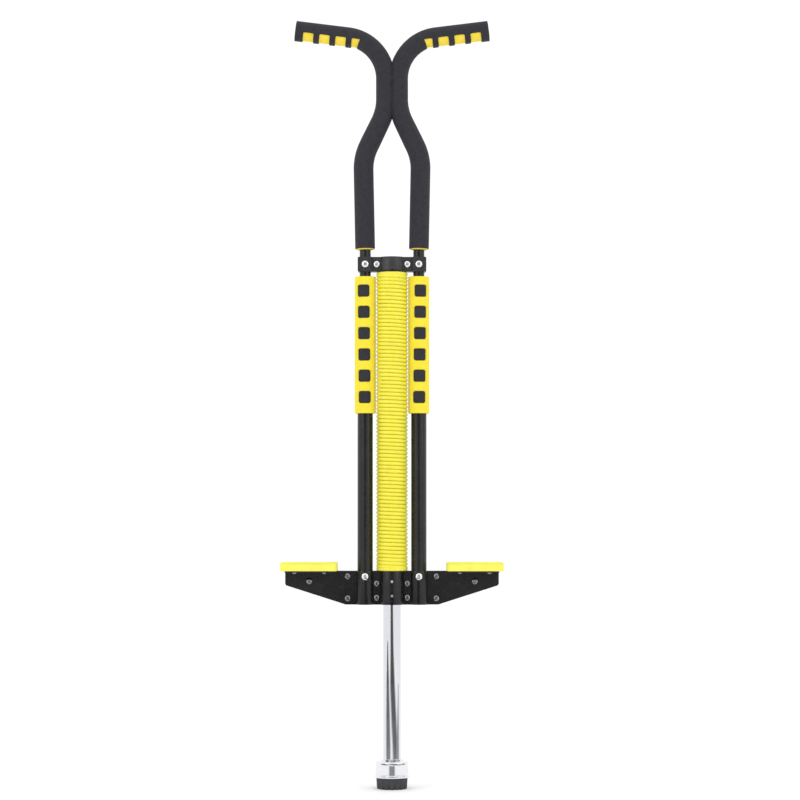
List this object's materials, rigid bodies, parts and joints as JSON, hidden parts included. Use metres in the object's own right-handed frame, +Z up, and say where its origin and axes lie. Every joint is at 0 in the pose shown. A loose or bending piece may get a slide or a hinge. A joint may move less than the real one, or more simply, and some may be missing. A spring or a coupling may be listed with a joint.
{
  "type": "pogo stick",
  "caption": "Spring pogo stick: chrome plunger with a rubber foot, padded foot plates, coil-covered centre column, twin side tubes and bent foam-covered handles.",
  "frame": {"origin": "on the floor, under the middle of the rubber tip, which is the middle of the object's footprint", "axes": "+Z up along the plunger, X across the handles and foot plates, front faces -Y"},
  "size_m": [0.317, 0.053, 1.0951],
  "materials": {
    "plate_black": "semi-gloss black paint on pressed steel",
    "pad_yellow": "matt moulded rubber, lemon yellow",
    "bright_steel": "bright zinc plate",
    "tube_black": "semi-gloss black powder coat",
    "black_plastic": "moulded plastic",
    "sleeve_yellow": "closed-cell foam skin, yellow",
    "foam_black": "closed-cell foam, charcoal",
    "foam_yellow": "closed-cell foam, yellow inner layer",
    "clamp_black": "satin black paint on a casting",
    "bolt_black": "gloss black",
    "coil_yellow": "smooth yellow plastic cord",
    "bush_nylon": "nylon",
    "rubber_black": "black rubber",
    "spring_steel": "oiled spring steel",
    "chrome": "bright chrome plate"
  },
  "bodies": {
    "frame": {"foot_plate_front": "plate_black", "foot_plate_rear": "plate_black", "foot_pad_left": "pad_yellow", "foot_pad_right": "pad_yellow", "pad_screws": "bolt_black", "frame_tube_left": "tube_black", "frame_tube_right": "tube_black", "tube_plug_left": "black_plastic", "tube_plug_right": "black_plastic", "tube_bush_left": "black_plastic", "tube_bush_right": "black_plastic", "side_sleeve_left": "sleeve_yellow", "side_sleeve_right": "sleeve_yellow", "sleeve_liner_left": "foam_black", "sleeve_liner_right": "foam_black", "upper_clamp_front": "clamp_black", "upper_clamp_rear": "clamp_black", "clamp_bolts": "bright_steel", "clamp_nuts": "bright_steel", "tube_bolts": "bright_steel", "tube_nuts": "bright_steel", "plate_bolts": "bolt_black", "plate_nuts": "bright_steel", "guide_screws": "bright_steel", "guide_tube": "tube_black", "coil_cover": "coil_yellow", "guide_bush": "bush_nylon", "bumper": "rubber_black", "top_plug": "black_plastic", "plug_pin": "spring_steel", "main_spring": "spring_steel", "handle_tube_left": "tube_black", "handle_tube_right": "tube_black", "handle_foam_left": "foam_black", "handle_foam_right": "foam_black", "foam_core_left": "foam_yellow", "foam_core_right": "foam_yellow", "grip_plug_left": "black_plastic", "grip_plug_right": "black_plastic"},
    "seat": {"spring_seat": "spring_steel"},
    "plunger": {"plunger_tube": "chrome", "stop_collar": "spring_steel", "collar_pin": "spring_steel", "plunger_plug": "spring_steel", "ferrule": "chrome", "rubber_tip": "rubber_black"}
  },
  "joints": [
    {"name": "plunger_slide", "type": "slide", "parent": "frame", "child": "seat", "axis": [0, 0, 1], "range_m": [0, 0.14], "stiffness_N_per_m": 6900, "springref_m": -0.02, "deforming": ["main_spring"]},
    {"name": "plunger_spin", "type": "hinge", "parent": "seat", "child": "plunger", "pos_m": [0, 0, 0.2], "axis": [0, 0, 1], "continuous": true}
  ]
}
